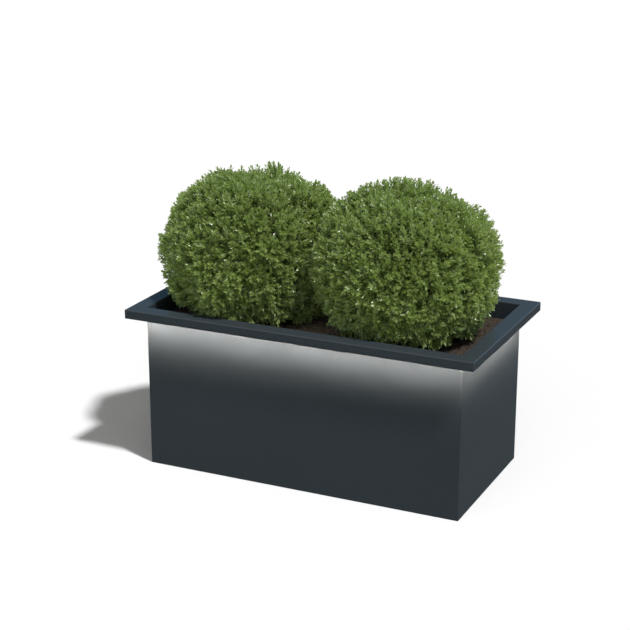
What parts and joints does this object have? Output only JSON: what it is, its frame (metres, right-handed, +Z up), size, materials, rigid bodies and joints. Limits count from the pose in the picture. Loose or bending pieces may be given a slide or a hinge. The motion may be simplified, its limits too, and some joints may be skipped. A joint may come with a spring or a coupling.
{
  "type": "planter",
  "caption": "Rectangular folded-steel planter with a wide overhanging rim that hides downward lights, on levelling feet, with a drained base, soil and clipped round box shrubs.",
  "frame": {"origin": "on the floor under the centre of the body", "axes": "+X along the length to the right, -Y to the front, +Z up"},
  "size_m": [1.096, 0.596, 0.874],
  "materials": {
    "anthracite_coat": "satin",
    "primed_steel": "matte",
    "zinc_steel": "satin",
    "foot_plastic": "matte",
    "drain_plastic": "matte",
    "channel_aluminium": "satin",
    "tape_board": "matte",
    "opal_diffuser": "satin",
    "cap_plastic": "matte",
    "lead_rubber": "matte",
    "driver_case": "satin",
    "gland_plastic": "satin",
    "potting_soil": "matte",
    "root_mass": "matte",
    "box_bark": "matte",
    "box_leaves": "satin"
  },
  "bodies": {
    "planter": {"front_panel": "anthracite_coat", "back_panel": "anthracite_coat", "left_end_panel": "anthracite_coat", "right_end_panel": "anthracite_coat", "base_tray": "primed_steel", "base_bearer_left": "primed_steel", "base_bearer_middle": "primed_steel", "base_bearer_right": "primed_steel", "tie_bar": "primed_steel", "foot_gusset_front_left": "primed_steel", "foot_gusset_front_right": "primed_steel", "foot_gusset_back_left": "primed_steel", "foot_gusset_back_right": "primed_steel", "foot_nuts": "zinc_steel", "driver_studs": "zinc_steel", "driver_nuts": "zinc_steel", "drain_outlets": "drain_plastic", "drainage_board": "drain_plastic", "lead_conduit": "drain_plastic", "conduit_clips": "drain_plastic", "light_channel_front": "channel_aluminium", "light_channel_right": "channel_aluminium", "light_channel_back": "channel_aluminium", "light_channel_left": "channel_aluminium", "light_tape_front": "tape_board", "light_tape_right": "tape_board", "light_tape_back": "tape_board", "light_tape_left": "tape_board", "light_diffuser_front": "opal_diffuser", "light_diffuser_right": "opal_diffuser", "light_diffuser_back": "opal_diffuser", "light_diffuser_left": "opal_diffuser", "channel_end_caps": "cap_plastic", "lighting_lead": "lead_rubber", "wall_grommet": "lead_rubber", "corner_links": "lead_rubber", "light_driver": "driver_case", "cable_gland": "gland_plastic", "gland_locknut": "gland_plastic", "soil": "potting_soil"},
    "pad_front_left": {"foot_pad_front_left": "foot_plastic"},
    "stud_front_left": {"foot_stud_front_left": "zinc_steel"},
    "pad_front_right": {"foot_pad_front_right": "foot_plastic"},
    "stud_front_right": {"foot_stud_front_right": "zinc_steel"},
    "pad_back_left": {"foot_pad_back_left": "foot_plastic"},
    "stud_back_left": {"foot_stud_back_left": "zinc_steel"},
    "pad_back_right": {"foot_pad_back_right": "foot_plastic"},
    "stud_back_right": {"foot_stud_back_right": "zinc_steel"},
    "left_shrub": {"left_root_ball": "root_mass", "left_stems": "box_bark", "left_crown": "box_leaves"},
    "right_shrub": {"right_root_ball": "root_mass", "right_stems": "box_bark", "right_crown": "box_leaves"}
  },
  "joints": [
    {"name": "foot_extend_front_left", "type": "slide", "parent": "planter", "child": "pad_front_left", "axis": [0, 0, -1], "range_m": [0, 0.015]},
    {"name": "foot_turn_front_left", "type": "hinge", "parent": "pad_front_left", "child": "stud_front_left", "pos_m": [-0.451, -0.201, 0.02], "axis": [0, 0, -1], "range_deg": [0, 3780]},
    {"name": "foot_extend_front_right", "type": "slide", "parent": "planter", "child": "pad_front_right", "axis": [0, 0, -1], "range_m": [0, 0.015]},
    {"name": "foot_turn_front_right", "type": "hinge", "parent": "pad_front_right", "child": "stud_front_right", "pos_m": [0.451, -0.201, 0.02], "axis": [0, 0, -1], "range_deg": [0, 3780]},
    {"name": "foot_extend_back_left", "type": "slide", "parent": "planter", "child": "pad_back_left", "axis": [0, 0, -1], "range_m": [0, 0.015]},
    {"name": "foot_turn_back_left", "type": "hinge", "parent": "pad_back_left", "child": "stud_back_left", "pos_m": [-0.451, 0.201, 0.02], "axis": [0, 0, -1], "range_deg": [0, 3780]},
    {"name": "foot_extend_back_right", "type": "slide", "parent": "planter", "child": "pad_back_right", "axis": [0, 0, -1], "range_m": [0, 0.015]},
    {"name": "foot_turn_back_right", "type": "hinge", "parent": "pad_back_right", "child": "stud_back_right", "pos_m": [0.451, 0.201, 0.02], "axis": [0, 0, -1], "range_deg": [0, 3780]},
    {"name": "left_shrub_lift", "type": "slide", "parent": "planter", "child": "left_shrub", "axis": [0, 0, 1], "range_m": [0, 0.3]},
    {"name": "right_shrub_lift", "type": "slide", "parent": "planter", "child": "right_shrub", "axis": [0, 0, 1], "range_m": [0, 0.3]}
  ],
  "couplings": [
    {"joint": "foot_turn_front_left", "follows": "foot_extend_front_left", "rad_per_m": 4188.8},
    {"joint": "foot_turn_front_right", "follows": "foot_extend_front_right", "rad_per_m": 4188.8},
    {"joint": "foot_turn_back_left", "follows": "foot_extend_back_left", "rad_per_m": 4188.8},
    {"joint": "foot_turn_back_right", "follows": "foot_extend_back_right", "rad_per_m": 4188.8}
  ]
}
